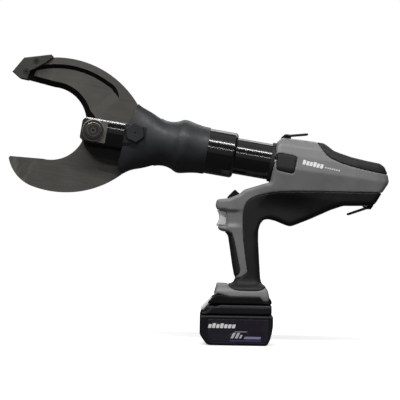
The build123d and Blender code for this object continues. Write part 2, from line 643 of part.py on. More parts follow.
def make_rings():
    for name, hinge, reach, base in (
        ("top", TOP_HINGE, TOP_REACH, [(65, 317), (65, 323.6), (70.5, 328.2), (76.5, 328.2), (80, 323), (80, 317)]),
        ("rear", REAR_HINGE, REAR_REACH, [(194, 222), (194, 217.5), (199, 213.7), (205.5, 213.5), (209.5, 219), (209.5, 222)]),
    ):
        body = slab(outline(*base, radii=[0, 1, 2, 2, 1, 0]), -9.5, 9.5)
        body -= across(hinge[0], hinge[2], WIRE + 0.1, -20, 20)
        body -= envelope(0)
        keep(f"{name}_ring_bracket", body)
        keep(f"{name}_strap_ring", strap_ring(hinge, reach, 14.0))


def main():
    make_blades()
    make_pivot()
    make_fork()
    make_cylinder()
    make_piston()
    make_casing()
    make_drive()
    make_controls()
    make_battery()
    make_rings()
    os.makedirs("parts", exist_ok=True)
    for name, shape in PARTS.items():
        export_step(Pos(*[-value for value in HAND]) * shape, f"parts/{name}.step")


main()
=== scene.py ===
"""Looks of the cordless hydraulic cutter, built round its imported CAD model.

Shapes that were moulded (casing, overmould, pads, battery, trigger) are modelled as fields:
a side outline, a map of half widths and an edge radius make a smooth solid, and its surface
is meshed. Machined and forged parts keep their CAD shape.
Sizes are in millimetres with heights from the battery's underside; mm() turns them into the
frame's metres, whose origin is the centre of the hand grip.
"""

import bpy
import math
import numpy as np
from mathutils import Matrix, Vector


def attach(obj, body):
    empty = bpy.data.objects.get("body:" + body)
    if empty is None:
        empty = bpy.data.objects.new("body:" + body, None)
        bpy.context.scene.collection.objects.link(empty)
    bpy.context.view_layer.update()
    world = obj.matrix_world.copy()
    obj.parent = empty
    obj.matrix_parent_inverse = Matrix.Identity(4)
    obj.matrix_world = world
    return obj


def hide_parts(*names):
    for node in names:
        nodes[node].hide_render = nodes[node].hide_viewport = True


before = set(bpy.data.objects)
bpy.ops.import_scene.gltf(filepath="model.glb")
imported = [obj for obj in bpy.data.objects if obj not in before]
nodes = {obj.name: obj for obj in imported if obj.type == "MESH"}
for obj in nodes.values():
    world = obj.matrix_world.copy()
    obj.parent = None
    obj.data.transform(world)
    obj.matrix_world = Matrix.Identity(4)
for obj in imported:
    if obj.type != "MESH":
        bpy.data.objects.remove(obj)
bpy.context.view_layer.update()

# the hand grip's centre, the blades' pivot and the slope of the head's axis
ORIGIN = np.array([10.0, 0.0, 150.0])
PIVOT = (-226.5, 0.0, 328.3)
TILT = math.radians(9.0)


def mm(x, y, z):
    """A point in millimetres from the battery's underside, in the frame's metres."""
    return Vector(((x - ORIGIN[0]) / 1000, (y - ORIGIN[1]) / 1000, (z - ORIGIN[2]) / 1000))


# ---- Fields -------------------------------------------------------------------------
class Grid:
    """Sample points of a box, in millimetres, with 2-D maps over x and z."""

    def __init__(self, low, high, step):
        self.low, self.step = np.array(low, float), step
        counts = [int((end - start) / step) + 1 for start, end in zip(low, high)]
        axes = [start + step * np.arange(count) for start, count in zip(low, counts)]
        self.map_x, self.map_z = np.meshgrid(axes[0], axes[2], indexing="ij")
        self.all_y = axes[1][None, :, None]


def outline(grid, points, blur=0.0):
    """Signed distance to a polygon in the side view, negative inside."""
    px, pz = grid.map_x, grid.map_z
    points = np.array(points, float)
    nearest = np.full(px.shape, 1e9)
    inside = np.zeros(px.shape, bool)
    for a, b in zip(points, np.roll(points, -1, axis=0)):
        edge = b - a
        along = ((px - a[0]) * edge[0] + (pz - a[1]) * edge[1]) / (edge @ edge + 1e-12)
        along = np.clip(along, 0, 1)
        gap_x = px - a[0] - along * edge[0]
        gap_z = pz - a[1] - along * edge[1]
        nearest = np.minimum(nearest, gap_x ** 2 + gap_z ** 2)
        crosses = (a[1] > pz) != (b[1] > pz)
        reach = a[0] + (pz - a[1]) * edge[0] / (edge[1] if abs(edge[1]) > 1e-12 else 1e-12)
        inside ^= crosses & (px < reach)
    distance = np.sqrt(nearest) * np.where(inside, -1, 1)
    return soften(distance, blur / grid.step) if blur else distance


def soften(values, sigma):
    """Gaussian blur of a 2-D map; sigma in samples."""
    reach = max(1, int(3 * sigma))
    weights = np.exp(-0.5 * (np.arange(-reach, reach + 1) / sigma) ** 2)
    weights /= weights.sum()
    for axis in (0, 1):
        pad = [(reach, reach) if a == axis else (0, 0) for a in (0, 1)]
        padded = np.pad(values, pad, mode="edge")
        size = values.shape[axis]
        parts = [w * np.take(padded, range(i, i + size), axis=axis) for i, w in enumerate(weights)]
        values = sum(parts)
    return values


def moulded(grid, side, half_width, radius):
    """Field of a part with a side outline, a half width and rounded edges."""
    radius = np.broadcast_to(radius, side.shape)[:, None, :]
    a = side[:, None, :] + radius
    b = np.abs(grid.all_y) - np.broadcast_to(half_width, side.shape)[:, None, :] + radius
    within = np.minimum(np.maximum(a, b), 0)
    beyond = np.hypot(np.maximum(a, 0), np.maximum(b, 0))
    return (within + beyond - radius).astype(np.float32)


def join(a, b, fillet):
    """Union of two fields with a fillet of about that size."""
    near = np.maximum(fillet - np.abs(a - b), 0) / fillet
    return np.minimum(a, b) - near * near * fillet / 4


def keep_inside(a, b, edge):
    """Intersection of two fields with an edge rounded by about that much."""
    near = np.maximum(edge - np.abs(a - b), 0) / edge
    return np.maximum(a, b) + near * near * edge / 4


def cut(a, b, edge):
    """The first field without the second, with the edge rounded by about that much."""
    return keep_inside(a, -b, edge)


def rows(field_2d):
    """A side-view map, ready to be combined with values over the width."""
    return field_2d[:, None, :]


def rectangle(grid, x_range, z_range):
    """Field of a bar that is rectangular in the side view and runs through the whole width."""
    (x_low, x_high), (z_low, z_high) = x_range, z_range
    return rows(outline(grid, [(x_low, z_low), (x_high, z_low), (x_high, z_high), (x_low, z_high)]))


def block(grid, x_range, z_range, half_width):
    """Field of a plain block, centred on the tool's middle plane."""
    return np.maximum(rectangle(grid, x_range, z_range), np.abs(grid.all_y) - half_width)


def evened(field, step):
    """Divides a field by its slope, so that it reads as a distance near its surface."""
    slope = np.sqrt(sum(g * g for g in np.gradient(field, step)))
    return (field / np.clip(slope, 0.6, 3)).astype(np.float32)


# value of a field beyond its grid, well outside any surface
OUTSIDE = 9.0


def surface(name, grid, field, body, material, replaces=(), relax=2):
    """Meshes a field's zero level, with one vertex in each cell that the surface crosses."""
    field = np.asarray(field, np.float32)
    field = np.pad(field, 1, constant_values=OUTSIDE)
    inside = field < 0
    shape = [n - 1 for n in field.shape]
    corners = [(i, j, k) for i in (0, 1) for j in (0, 1) for k in (0, 1)]
    count = np.zeros(shape, np.int8)
    for i, j, k in corners:
        count += inside[i:shape[0] + i, j:shape[1] + j, k:shape[2] + k]
    cells = np.argwhere((count > 0) & (count < 8))
    number = np.full(shape, -1, np.int64)
    number[tuple(cells.T)] = np.arange(len(cells))
    total, hits = np.zeros((len(cells), 3)), np.zeros(len(cells))
    for corner in corners:
        for axis in range(3):
            if corner[axis]:
                continue
            near = cells + corner
            far = near.copy()
            far[:, axis] += 1
            fa, fb = field[tuple(near.T)], field[tuple(far.T)]
            crossed = (fa < 0) != (fb < 0)
            place = near[crossed].astype(float)
            place[:, axis] += fa[crossed] / (fa[crossed] - fb[crossed])
            total[crossed] += place
            hits[crossed] += 1
    points = grid.low + (total / hits[:, None] - 1) * grid.step
    faces = []
    for axis in range(3):
        one, two = [a for a in range(3) if a != axis]
        first = [slice(1, n) for n in field.shape]
        first[axis] = slice(0, field.shape[axis] - 1)
        second = list(first)
        second[axis] = slice(1, field.shape[axis])
        a, b = inside[tuple(first)], inside[tuple(second)]
        edges = np.argwhere(a != b)
        outward = a[tuple(edges.T)]
        base = edges + [0 if d == axis else 1 for d in range(3)]
        ring = []
        for back_one, back_two in ((0, 0), (1, 0), (1, 1), (0, 1)):
            cell = base.copy()
            cell[:, one] -= back_one
            cell[:, two] -= back_two
            ring.append(number[tuple(cell.T)])
        ring = np.stack(ring, axis=1)
        flip = outward if axis != 1 else ~outward
        ring[flip] = ring[flip][:, ::-1]
        faces.append(ring)
    faces = np.concatenate(faces)
    mesh = bpy.data.meshes.new(name)
    mesh.from_pydata(((points - ORIGIN) / 1000).tolist(), [], faces.tolist())
    mesh.validate()
    piece = bpy.data.objects.new(name, mesh)
    bpy.context.scene.collection.objects.link(piece)
    mesh.polygons.foreach_set("use_smooth", [True] * len(mesh.polygons))
    mesh.materials.append(material)
    if relax:
        smooth = piece.modifiers.new("relax", "SMOOTH")
        smooth.factor, smooth.iterations = 0.5, relax
    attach(piece, body)
    if replaces:
        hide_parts(*replaces)


# ---- Materials ----------------------------------------------------------------------
class Shader:
    """A Principled material with small helpers for procedural detail."""

    def __init__(self, name, base, rough, metal=0.0, **inputs):
        self.material = bpy.data.materials.new(name)
        self.material.use_nodes = True
        self.tree = self.material.node_tree
        self.bsdf = self.tree.nodes["Principled BSDF"]
        self.bsdf.inputs["Base Color"].default_value = (*base, 1)
        self.bsdf.inputs["Roughness"].default_value = rough
        self.bsdf.inputs["Metallic"].default_value = metal
        for key, value in inputs.items():
            self.bsdf.inputs[key.replace("_", " ")].default_value = value
        self.coordinates = self.add("ShaderNodeTexCoord")
        self.place = self.coordinates.outputs["Object"]

    def add(self, kind, **settings):
        node = self.tree.nodes.new(kind)
        for key, value in settings.items():
            if key in node.inputs:
                node.inputs[key].default_value = value
            else:
                setattr(node, key, value)
        return node

    def link(self, start, end):
        self.tree.links.new(start, end)

    def stretched(self, scale, turn=(0, 0, 0)):
        """Object coordinates turned, then scaled along each axis."""
        turned = self.add("ShaderNodeMapping")
        turned.inputs["Rotation"].default_value = turn
        self.link(self.place, turned.inputs["Vector"])
        scaled = self.add("ShaderNodeMapping")
        scaled.inputs["Scale"].default_value = scale
        self.link(turned.outputs[0], scaled.inputs["Vector"])
        return scaled.outputs[0]

    def noise(self, scale, detail=3.0, rough=0.55, vector=None):
        node = self.add("ShaderNodeTexNoise", Scale=scale, Detail=detail, Roughness=rough)
        self.link(vector if vector else self.place, node.inputs["Vector"])
        return node.outputs["Fac"]

    def ramp(self, value, stops):
        """Maps a value to a colour; stops are (position, (r, g, b))."""
        node = self.add("ShaderNodeValToRGB")
        elements = node.color_ramp.elements
        while len(elements) < len(stops):
            elements.new(0.5)
        for element, (position, color) in zip(elements, stops):
            element.position = position
            element.color = (*color, 1)
        self.link(value, node.inputs["Fac"])
        return node.outputs["Color"]

    def spread(self, value, low, high, start=0.3, end=0.7):
        node = self.add("ShaderNodeMapRange")
        for key, number in (("From Min", start), ("From Max", end), ("To Min", low), ("To Max", high)):
            node.inputs[key].default_value = number
        self.link(value, node.inputs["Value"])
        return node.outputs["Result"]

    def combine(self, operation, *values):
        """A Math node over one or two linked values."""
        node = self.add("ShaderNodeMath", operation=operation)
        for socket, value in zip(node.inputs, values):
            self.link(value, socket)
        return node.outputs[0]

    def blend(self, node, factor, a, b):
        """Feeds a Mix node, whose sockets share names, and returns its live output."""
        for name, value in (("Factor", factor), ("A", a), ("B", b)):
            socket = [s for s in node.inputs if s.name == name and s.enabled][0]
            if hasattr(value, "is_linked"):
                self.link(value, socket)
            elif isinstance(value, (int, float)):
                socket.default_value = value
            else:
                socket.default_value = (*value, 1)
        return [s for s in node.outputs if s.enabled][0]

    def mix(self, factor, a, b, mode="MIX"):
        return self.blend(self.add("ShaderNodeMix", data_type="RGBA", blend_type=mode), factor, a, b)

    def mix_value(self, factor, a, b):
        return self.blend(self.add("ShaderNodeMix", data_type="FLOAT"), factor, a, b)

    def color(self, output):
        self.link(output, self.bsdf.inputs["Base Color"])

    def roughness(self, output):
        self.link(output, self.bsdf.inputs["Roughness"])

    def specular(self, output):
        self.link(output, self.bsdf.inputs["Specular IOR Level"])

    def bump(self, height, distance, strength=1.0):
        node = self.add("ShaderNodeBump", Strength=strength, Distance=distance)
        self.link(height, node.inputs["Height"])
        if self.bsdf.inputs["Normal"].is_linked:
            self.link(self.bsdf.inputs["Normal"].links[0].from_socket, node.inputs["Normal"])
        self.link(node.outputs["Normal"], self.bsdf.inputs["Normal"])


def moulded_plastic(name, base, rough, grain=1500, depth=0.00004, spread=0.12, shine=0.5):
    """Spark-textured plastic: fine grain, faint flow mottling, slight handling shine."""
    s = Shader(name, base, rough, Specular_IOR_Level=shine)
    cloud = s.noise(22, detail=4)
    low = tuple(c * (1 - spread) for c in base)
    high = tuple(min(1, c * (1 + spread)) for c in base)
    s.color(s.ramp(cloud, [(0.3, low), (0.7, high)]))
    s.roughness(s.spread(s.noise(45, detail=5), rough - 0.07, rough + 0.08))
    s.bump(s.noise(grain, detail=2), depth, 0.6)
    return s.material


def rubber(name, base):
    """Soft overmould: matt, with a coarse grain."""
    s = Shader(name, base, 0.6, Specular_IOR_Level=0.35)
    cloud = s.noise(30, detail=4)
    low = tuple(c * 0.8 for c in base)
    high = tuple(c * 1.3 for c in base)
    s.color(s.ramp(cloud, [(0.3, low), (0.75, high)]))
    s.roughness(s.spread(s.noise(60, detail=5), 0.5, 0.68))
    s.bump(s.noise(1100, detail=2), 0.00008, 0.7)
    return s.material


def forged(name, base, rough, metal):
    """Blasted and coated forging: soft orange-peel with small pits."""
    s = Shader(name, base, rough, metal)
    cloud = s.noise(18, detail=5)
    low = tuple(c * 0.72 for c in base)
    high = tuple(c * 1.25 for c in base)
    s.color(s.ramp(cloud, [(0.28, low), (0.72, high)]))
    s.roughness(s.spread(s.noise(70, detail=6), rough - 0.1, rough + 0.12))
    s.bump(s.noise(420, detail=4), 0.00018, 0.5)
    return s.material


# specular level of the polished black surfaces, and the turned arms' end and half height, metres
GLOSS = 0.62
ARM_END, ARM_HALF = 0.0478, 0.0195


def gloss_black(name):
    """Black anodised cylinder surface with faint turning marks."""
    s = Shader(name, (0.0015, 0.0015, 0.0016), 0.12, 0.0, Specular_IOR_Level=GLOSS)
    rings = s.noise(1.0, detail=3, vector=s.stretched((900, 6, 6), (0, -TILT, 0)))
    s.roughness(s.spread(rings, 0.10, 0.2))
    s.bump(rings, 0.000008, 0.5)
    return s.material


def head_space(s):
    """The shader's coordinates in the head's frame: x back from the pivot, z up, metres."""
    turn = Matrix.Rotation(-TILT, 3, "Y")
    node = s.add("ShaderNodeMapping")
    node.inputs["Rotation"].default_value = (0, -TILT, 0)
    node.inputs["Location"].default_value = -(turn @ mm(*PIVOT))
    s.link(s.place, node.inputs["Vector"])
    return node.outputs[0]


def band(s, value, low, high, blend):
    """1 where value is between low and high, fading over blend at both ends."""
    rise = s.spread(value, 0, 1, low - blend, low + blend)
    fall = s.spread(value, 1, 0, high - blend, high + blend)
    return s.combine("MULTIPLY", rise, fall)


def along(s, vector, axis):
    """One coordinate of a vector, by its letter."""
    node = s.add("ShaderNodeSeparateXYZ")
    s.link(vector, node.inputs[0])
    return node.outputs[axis]


def distance_from_pivot(s):
    """Distance from the pivot's axis, metres."""
    flat = s.add("ShaderNodeMapping")
    flat.inputs["Scale"].default_value = (1, 0, 1)
    s.link(head_space(s), flat.inputs["Vector"])
    length = s.add("ShaderNodeVectorMath", operation="LENGTH")
    s.link(flat.outputs[0], length.inputs[0])
    return length.outputs["Value"]


def fork_metal():
    """Dark coated forging; its two arms are turned smooth and shine."""
    s = Shader("fork_forging", (0.016, 0.017, 0.019), 0.5, 0.0, Specular_IOR_Level=0.4)
    cloud = s.noise(18, detail=5)
    base = s.ramp(cloud, [(0.28, (0.0125, 0.0135, 0.015)), (0.72, (0.022, 0.0235, 0.026))])
    here = head_space(s)
    ahead = band(s, along(s, here, "X"), -0.03, ARM_END, 0.0012)
    level = band(s, along(s, here, "Z"), -ARM_HALF, ARM_HALF, 0.0006)
    arm = s.combine("MULTIPLY", ahead, level)
    s.color(s.mix(arm, base, (0.002, 0.002, 0.0022)))
    rough = s.spread(s.noise(70, detail=6), 0.36, 0.6)
    turned = s.noise(1.0, detail=3, vector=s.stretched((9, 300, 900), (0, -TILT, 0)))
    s.roughness(s.mix_value(arm, rough, s.spread(turned, 0.1, 0.19)))
    s.specular(s.mix_value(arm, 0.4, GLOSS))
    s.bump(s.mix_value(arm, s.noise(420, detail=4), 0.5), 0.00022, 0.25)
    return s.material


def keeper_metal():
    """Blackened keeper plate, rubbed bright toward its rear edge."""
    s = Shader("plate_metal", (0.08, 0.075, 0.068), 0.38, 0.3)
    rear = s.spread(along(s, head_space(s), "X"), 0, 1, -0.012, 0.018)
    tone = s.mix(rear, (0.022, 0.021, 0.019), (0.14, 0.132, 0.118))
    wear = s.ramp(s.noise(60, detail=5), [(0.3, (0.75, 0.75, 0.75)), (0.7, (1.2, 1.2, 1.2))])
    s.color(s.mix(1.0, tone, wear, "MULTIPLY"))
    s.roughness(s.spread(s.noise(90, detail=5), 0.3, 0.48))
    s.bump(s.noise(420, detail=4), 0.00012, 0.4)
    return s.material


def bolt_metal():
    """Blackened bolt with bright rings painted on its rim and ring edges as painted highlights."""
    s = Shader("bolt", (0.05, 0.047, 0.043), 0.36, 0.8)
    radius = distance_from_pivot(s)
    cloud = s.noise(60, detail=5)
    base = s.ramp(cloud, [(0.3, (0.035, 0.032, 0.029)), (0.7, (0.085, 0.078, 0.07))])
    # painted highlights: bright rings at the flange rim and the ring edges, where light glints
    rings = [
        (0.0161, 0.0172, (0.62, 0.6, 0.56)),
        (0.0117, 0.0126, (0.3, 0.28, 0.24)),
        (0.0087, 0.0093, (0.22, 0.21, 0.19)),
        (0.003, 0.0037, (0.25, 0.24, 0.22)),
    ]
    for low, high, tone in rings:
        base = s.mix(band(s, radius, low, high, 0.00015), base, tone)
    s.color(base)
    s.roughness(s.spread(s.noise(300, detail=4), 0.26, 0.46))
    s.bump(s.noise(500, detail=3), 0.00006, 0.4)
    return s.material


def blade_steel(name, paint_heel_shadow=False):
    """Blackened blade: brown-grey flats with grinding streaks, painted shade on slopes, bevel and walls,
    rubbed tip, and a painted shadow over the upper blade's heel.
    """
    s = Shader(name, (0.08, 0.076, 0.069), 0.45, 0.2, Specular_IOR_Level=0.35)
    cloud = s.noise(13, detail=6)
    streak = s.noise(1.0, detail=5, vector=s.stretched((26, 200, 320), (0, -TILT, 0)))
    cross = s.noise(1.0, detail=2, vector=s.stretched((62, 30, 17), (0, math.radians(-28), 0)))
    tones = [(0.25, (0.068, 0.065, 0.058)), (0.55, (0.092, 0.088, 0.08)), (0.8, (0.122, 0.117, 0.106))]
    base = s.ramp(cloud, tones)
    base = s.mix(s.spread(streak, 0.0, 0.22, 0.45, 0.8), base, (0.17, 0.16, 0.145))
    tip = band(s, along(s, head_space(s), "X"), -0.128, -0.085, 0.012)
    rubbed = s.combine("MULTIPLY", s.spread(cross, 0.0, 0.75, 0.5, 0.66), tip)
    base = s.mix(rubbed, base, (0.2, 0.187, 0.163))
    # facing is 1 on the blade's flats, a little less on shallow slopes, least on bevel and walls; slopes,
    # bevel and walls get painted shade where they turn away from the light
    facing = s.combine("ABSOLUTE", along(s, s.coordinates.outputs["Normal"], "Y"))
    painted_tilt_shade = s.spread(facing, 1, 0, 0.955, 0.985)
    painted_slope_shade = s.spread(facing, 1, 0, 0.9, 0.94)
    base = s.mix(painted_tilt_shade, base, (0.05, 0.047, 0.042))
    base = s.mix(painted_slope_shade, base, (0.006, 0.0055, 0.005))
    painted_shade = painted_slope_shade
    if paint_heel_shadow:
        # painted shadow of the near arm, cast over the upper blade's heel below it
        heel_shadow = s.spread(along(s, head_space(s), "Z"), 1, 0, -0.021, -0.015)
        base = s.mix(heel_shadow, base, (0.009, 0.0088, 0.008))
        painted_shade = s.combine("MAXIMUM", painted_slope_shade, heel_shadow)
    s.color(base)
    s.specular(s.mix_value(painted_shade, 0.35, 0.12))
    s.link(s.mix_value(painted_shade, 0.2, 0.0), s.bsdf.inputs["Metallic"])
    s.roughness(s.spread(streak, 0.38, 0.55))
    s.bump(streak, 0.00003, 0.3)
    s.bump(s.noise(260, detail=4), 0.00005, 0.3)
    return s.material


def worn_edge(name, tone):
    """Edge with its coating rubbed through in places."""
    s = Shader(name, tone, 0.35, 0.7)
    coated = tuple(c * 0.45 for c in tone)
    s.color(s.ramp(s.noise(160, detail=6), [(0.35, coated), (0.7, tone)]))
    s.roughness(s.spread(s.noise(200, detail=3), 0.3, 0.5))
    return s.material


casing_grey = moulded_plastic("casing_grey", (0.19, 0.19, 0.193), 0.46)
soft_black = rubber("soft_black", (0.0095, 0.0095, 0.0098))
pad_black = rubber("pad_black", (0.016, 0.016, 0.0157))
black_nylon = moulded_plastic("black_nylon", (0.0065, 0.0065, 0.0065), 0.42, grain=900, shine=0.17)
battery_black = moulded_plastic("battery_black", (0.0105, 0.01, 0.0125), 0.36, grain=1200, shine=0.22)
label_violet = moulded_plastic(
    "label_violet", (0.0155, 0.0135, 0.022), 0.26, grain=500, depth=0.00001, spread=0.2)
trigger_grey = moulded_plastic("trigger_grey", (0.64, 0.64, 0.645), 0.42)
button_pale = moulded_plastic("button_pale", (0.86, 0.86, 0.85), 0.4, spread=0.05)
print_white = moulded_plastic("print_white", (0.88, 0.88, 0.88), 0.5, spread=0.04)
print_grey = moulded_plastic("print_grey", (0.62, 0.61, 0.66), 0.5, spread=0.06)
print_lilac = moulded_plastic("print_lilac", (0.3, 0.27, 0.44), 0.5, spread=0.08)
print_violet = moulded_plastic("print_violet", (0.05, 0.035, 0.13), 0.5, spread=0.08)
fork_finish = fork_metal()
bolt_finish = bolt_metal()
hardware = forged("hardware", (0.05, 0.047, 0.044), 0.36, 0.7)
guide_metal = forged("guide_metal", (0.04, 0.04, 0.034), 0.5, 0.1)
plate_metal = keeper_metal()
blackened = gloss_black("blackened_cylinder")
steel = forged("bright_steel", (0.4, 0.4, 0.4), 0.3, 1.0)
bronze = forged("bronze", (0.5, 0.32, 0.14), 0.3, 1.0)
wire_black = forged("wire_black", (0.012, 0.012, 0.012), 0.4, 0.2)
upper_steel = blade_steel("upper_blade_steel", paint_heel_shadow=True)
lower_steel = blade_steel("lower_blade_steel")
blade_edge = worn_edge("blade_edge", (0.24, 0.22, 0.19))
dark_edge = worn_edge("dark_edge", (0.12, 0.115, 0.105))
board = moulded_plastic("board_green", (0.02, 0.1, 0.03), 0.4)

LOOKS = {
    "head_fork": fork_finish, "hex_plug": fork_finish, "cylinder_collar": blackened,
    "cylinder_tube": blackened, "upper_blade": upper_steel, "lower_blade": lower_steel,
    "blade_guide": guide_metal, "guide_screws": hardware, "pivot_bolt": bolt_finish,
    "pivot_nut": hardware, "pivot_washer": hardware, "keeper_plate": plate_metal,
    "swivel_ring": soft_black, "shoe_terminals": bronze,
    "casing_screws": hardware, "top_ring_bracket": black_nylon, "rear_ring_bracket": black_nylon,
    "top_strap_ring": wire_black, "rear_strap_ring": wire_black, "rod_gland": bronze,
    "rod_seal": soft_black, "piston_seal": soft_black, "swivel_bush": bronze,
    "release_valve": bronze, "control_board": board, "battery_board": board,
    "trigger_switch": black_nylon, "oil_reservoir": soft_black,
}
# edge widths in metres, and the worn metal that shows there
EDGES = {
    "upper_blade": (0.001, blade_edge), "lower_blade": (0.001, blade_edge),
    "blade_guide": (0.0005, dark_edge), "keeper_plate": (0.0005, dark_edge),
    "hex_plug": (0.0005, dark_edge), "pivot_nut": (0.0005, dark_edge), "head_fork": (0.0004, None),
    "cylinder_collar": (0.0005, None), "cylinder_tube": (0.0004, None), "pivot_bolt": (0.0003, None),
}
SHARP = math.radians(32)
for name, node in nodes.items():
    node.data.materials.clear()
    node.data.materials.append(LOOKS.get(name, steel))
    if name in EDGES:
        width, worn = EDGES[name]
        bevel = node.modifiers.new("edge", "BEVEL")
        bevel.width, bevel.segments = width, 2
        bevel.limit_method, bevel.angle_limit = "ANGLE", SHARP
        bevel.use_clamp_overlap = True
        if worn:
            node.data.materials.append(worn)
            bevel.material = 1

# ---- Casing -------------------------------------------------------------------------
step = 1.25
casing = Grid((-40, -42, 62), (237, 42, 328), step)
gx, gz = casing.map_x, casing.map_z
solid_y = casing.all_y

side = outline(casing, [
    # front, top and back of the barrel
    (48.5, 254), (52, 281), (56.0, 308), (59, 316), (66, 322.6), (94, 319.9), (119, 316.8), (131, 315),
    (138, 310), (146, 303.5), (157, 299.4), (173, 294.2), (196, 289), (218, 285), (225, 280), (230, 269),
    (232.4, 257), (231, 253), (222, 239.5), (213, 224), (208, 219.5), (202, 218.8),
    # belly, and down the handle's back
    (161.6, 218.1), (143, 211.6), (112, 197), (86, 186.2), (80, 184.8), (74, 186.4), (57.5, 193),
    (46, 195.6), (39, 194.4), (34, 188), (31.4, 178.4), (31.5, 162.8), (33.6, 131.6), (35.7, 104),
    # foot, and up the handle's front to the trigger
    (38, 94), (38, 84), (-9, 84), (-9, 92), (-5, 99), (-3.4, 103), (-5, 106), (-8.4, 123),
    (-12, 146.5), (-15.4, 168), (-19, 173.5), (-24.9, 175.9), (-30, 177.6), (-32.8, 184.4),
    # trigger's notch, brow and neck
    (-19.5, 184.4), (-19.5, 208), (-32.6, 208), (-35.8, 215), (-34.2, 223.6), (-31, 225.6), (-15, 227.2),
    (2, 234.7), (9.8, 241.6), (25.3, 246.2), (40, 251), (46.5, 252.2),
], blur=1.4)

# half width: a crease runs back along the barrel, and the belly tapers to the handle
crease = 273 - 0.123 * (gx - 88.8)
rise = gz - crease
profile = np.interp(rise, [-95, -72, -40, 0, 20, 36, 50], [14, 20.5, 32, 38.0, 34.0, 28.6, 17])
plan = np.interp(gx, [40, 60, 120, 180, 215, 234], [36, 38, 38.4, 36, 30, 24]) / 38.4
barrel_width = profile * plan
handle_width = np.interp(gx, [-36, -14, 34, 60, 90, 150, 200], [14, 19.6, 19.6, 18.6, 16.5, 19, 21])


def eased(value):
    """0 to 1 with a soft start and end."""
    value = np.clip(value, 0, 1)
    return value * value * (3 - 2 * value)


low_part = eased((243 - gz) / 40)
front_part = eased((52 - gx) / 34)
narrow = np.maximum(low_part * np.clip((130 - gx) / 50, 0, 1), front_part)
half_width = barrel_width * (1 - narrow) + handle_width * narrow
# finger scoop beside the trigger, under the brow
SCOOP_DEPTH, SKIRT_FLARE = 3.4, 4.5
scoop_height = np.clip((gz - 182.5) / 6, 0, 1) * np.clip((209.5 - gz) / 3.2, 0, 1)
half_width = half_width - SCOOP_DEPTH * scoop_height * np.clip((8 - gx) / 14, 0, 1)
# the skirt at the handle's foot
half_width = half_width + SKIRT_FLARE * np.clip((104 - gz) / 12, 0, 1) ** 2
half_width = soften(half_width, 1.1 / step)
radius = np.where(gx > 45, np.where(gz > 236, 7.0, 9.0), np.where(gz > 176, 5.5, 11.0))
radius = np.clip(soften(radius, 4 / step), 2, 12)
body_field = moulded(casing, side, half_width, radius)

foot_side = outline(casing, [
    (-31.5, 95), (-34, 85), (-36.8, 75.2), (-30, 79), (-10, 73.8), (34, 73.8), (40.5, 67), (48.2, 66.8),
    (50.0, 75), (47.5, 85), (44, 91), (38, 94.4), (10, 92.6), (-8, 94.2),
], blur=0.9)
foot_width = np.interp(gz, [64, 76, 84, 90, 96], [36.4, 36.4, 34.5, 30, 22])
foot_field = moulded(casing, foot_side, soften(foot_width, 1.2 / step), radius=4.0)
outer = evened(join(body_field, foot_field, fillet=5.0), step)

grip_map = outline(casing, [
    (240, 239.5), (174, 239.6), (127, 240.2), (80, 239.4), (62, 238.2), (49, 236.4), (38, 234),
    (27, 231), (18.5, 227), (12.8, 222), (9, 214), (7.1, 205), (6.5, 196.7), (8.1, 162.4),
    (13.6, 123.5), (15.4, 113.5), (13.5, 110.4), (4.6, 103.6), (-1, 102.6), (-14, 103),
    (-14, 90.5), (-10.6, 89.4), (-5, 86), (3, 84.5), (30, 84.5), (38, 86.2), (42, 89), (60, 93),
    (60, 150), (240, 150),
], blur=0.8)
pad_map = outline(casing, [
    (119, 330), (119.5, 316.8), (128.9, 303.4), (135, 296), (141.6, 291.1), (157.3, 284),
    (180.8, 277.2), (204.3, 272.2), (240, 266), (240, 330),
], blur=0.8)
strip_map = outline(casing, [
    (-30, 178), (-30, 174.8), (-17, 175.3), (-10.4, 173.4), (-6, 162.2), (-0.9, 138.8), (4.0, 116),
    (3.2, 110.8), (-2.6, 106), (-30, 104.5),
], blur=0.6)
side_pad_map = outline(casing, [
    (57.5, 296.4), (63.4, 297.8), (86, 293.6), (89, 291.4), (84.6, 269), (81.6, 266.6), (59, 271.3),
    (57, 273.5),
], blur=0.7)

# the swivel mouth, in the head's frame: along and above the head's axis
MOUTH_RADIUS, MOUTH_END = 32.7, 292
along_u = (gx - PIVOT[0]) * math.cos(TILT) - (gz - PIVOT[2]) * math.sin(TILT)
above_v = (gx - PIVOT[0]) * math.sin(TILT) + (gz - PIVOT[2]) * math.cos(TILT)


def pocket(x_range, z_range, half_width):
    """Field of a pocket in the casing, centred on its parting plane."""
    (x_low, x_high), (z_low, z_high) = x_range, z_range
    flat = np.maximum(np.maximum(x_low - gx, gx - x_high), np.maximum(z_low - gz, gz - z_high))
    return np.maximum(rows(flat), np.abs(solid_y) - half_width)


mouth = np.maximum(np.hypot(solid_y, rows(above_v)) - MOUTH_RADIUS, rows(along_u - MOUTH_END))
trigger_pocket = pocket((-42, -2), (183.7, 208.8), 9.7)
button_pocket = pocket((-15.2, 5), (219, 250), 7.5)
shoe_pocket = pocket((-34.5, 36.5), (60, 78), 30.3)
outer = cut(outer, mouth, edge=1.6)
outer = cut(outer, trigger_pocket, edge=1.2)
outer = cut(outer, button_pocket, edge=1.0)

# the far half carries the screws, each in a bore with a boss round it
SCREWS = [(150, 224), (206, 230), (214, 266), (104, 309), (56, 204), (10, 118), (24, 165)]
BORE_RADIUS, BORE_FLOOR, BOSS_RADIUS = 3.3, 8.8, 6.4
spots = np.min([np.hypot(gx - x, gz - z) for x, z in SCREWS], axis=0)
bores = np.maximum(rows(spots - BORE_RADIUS), BORE_FLOOR - solid_y)
bosses = rows(spots - BOSS_RADIUS)

# overmould: depth of its recess, how far the recess reaches past the region's outline and the
# clearance under the skin, and how far the skin's edge stays inside that outline
SINK, SKIN_GAP, SKIN_INSET = 2.6, 0.1, 0.25
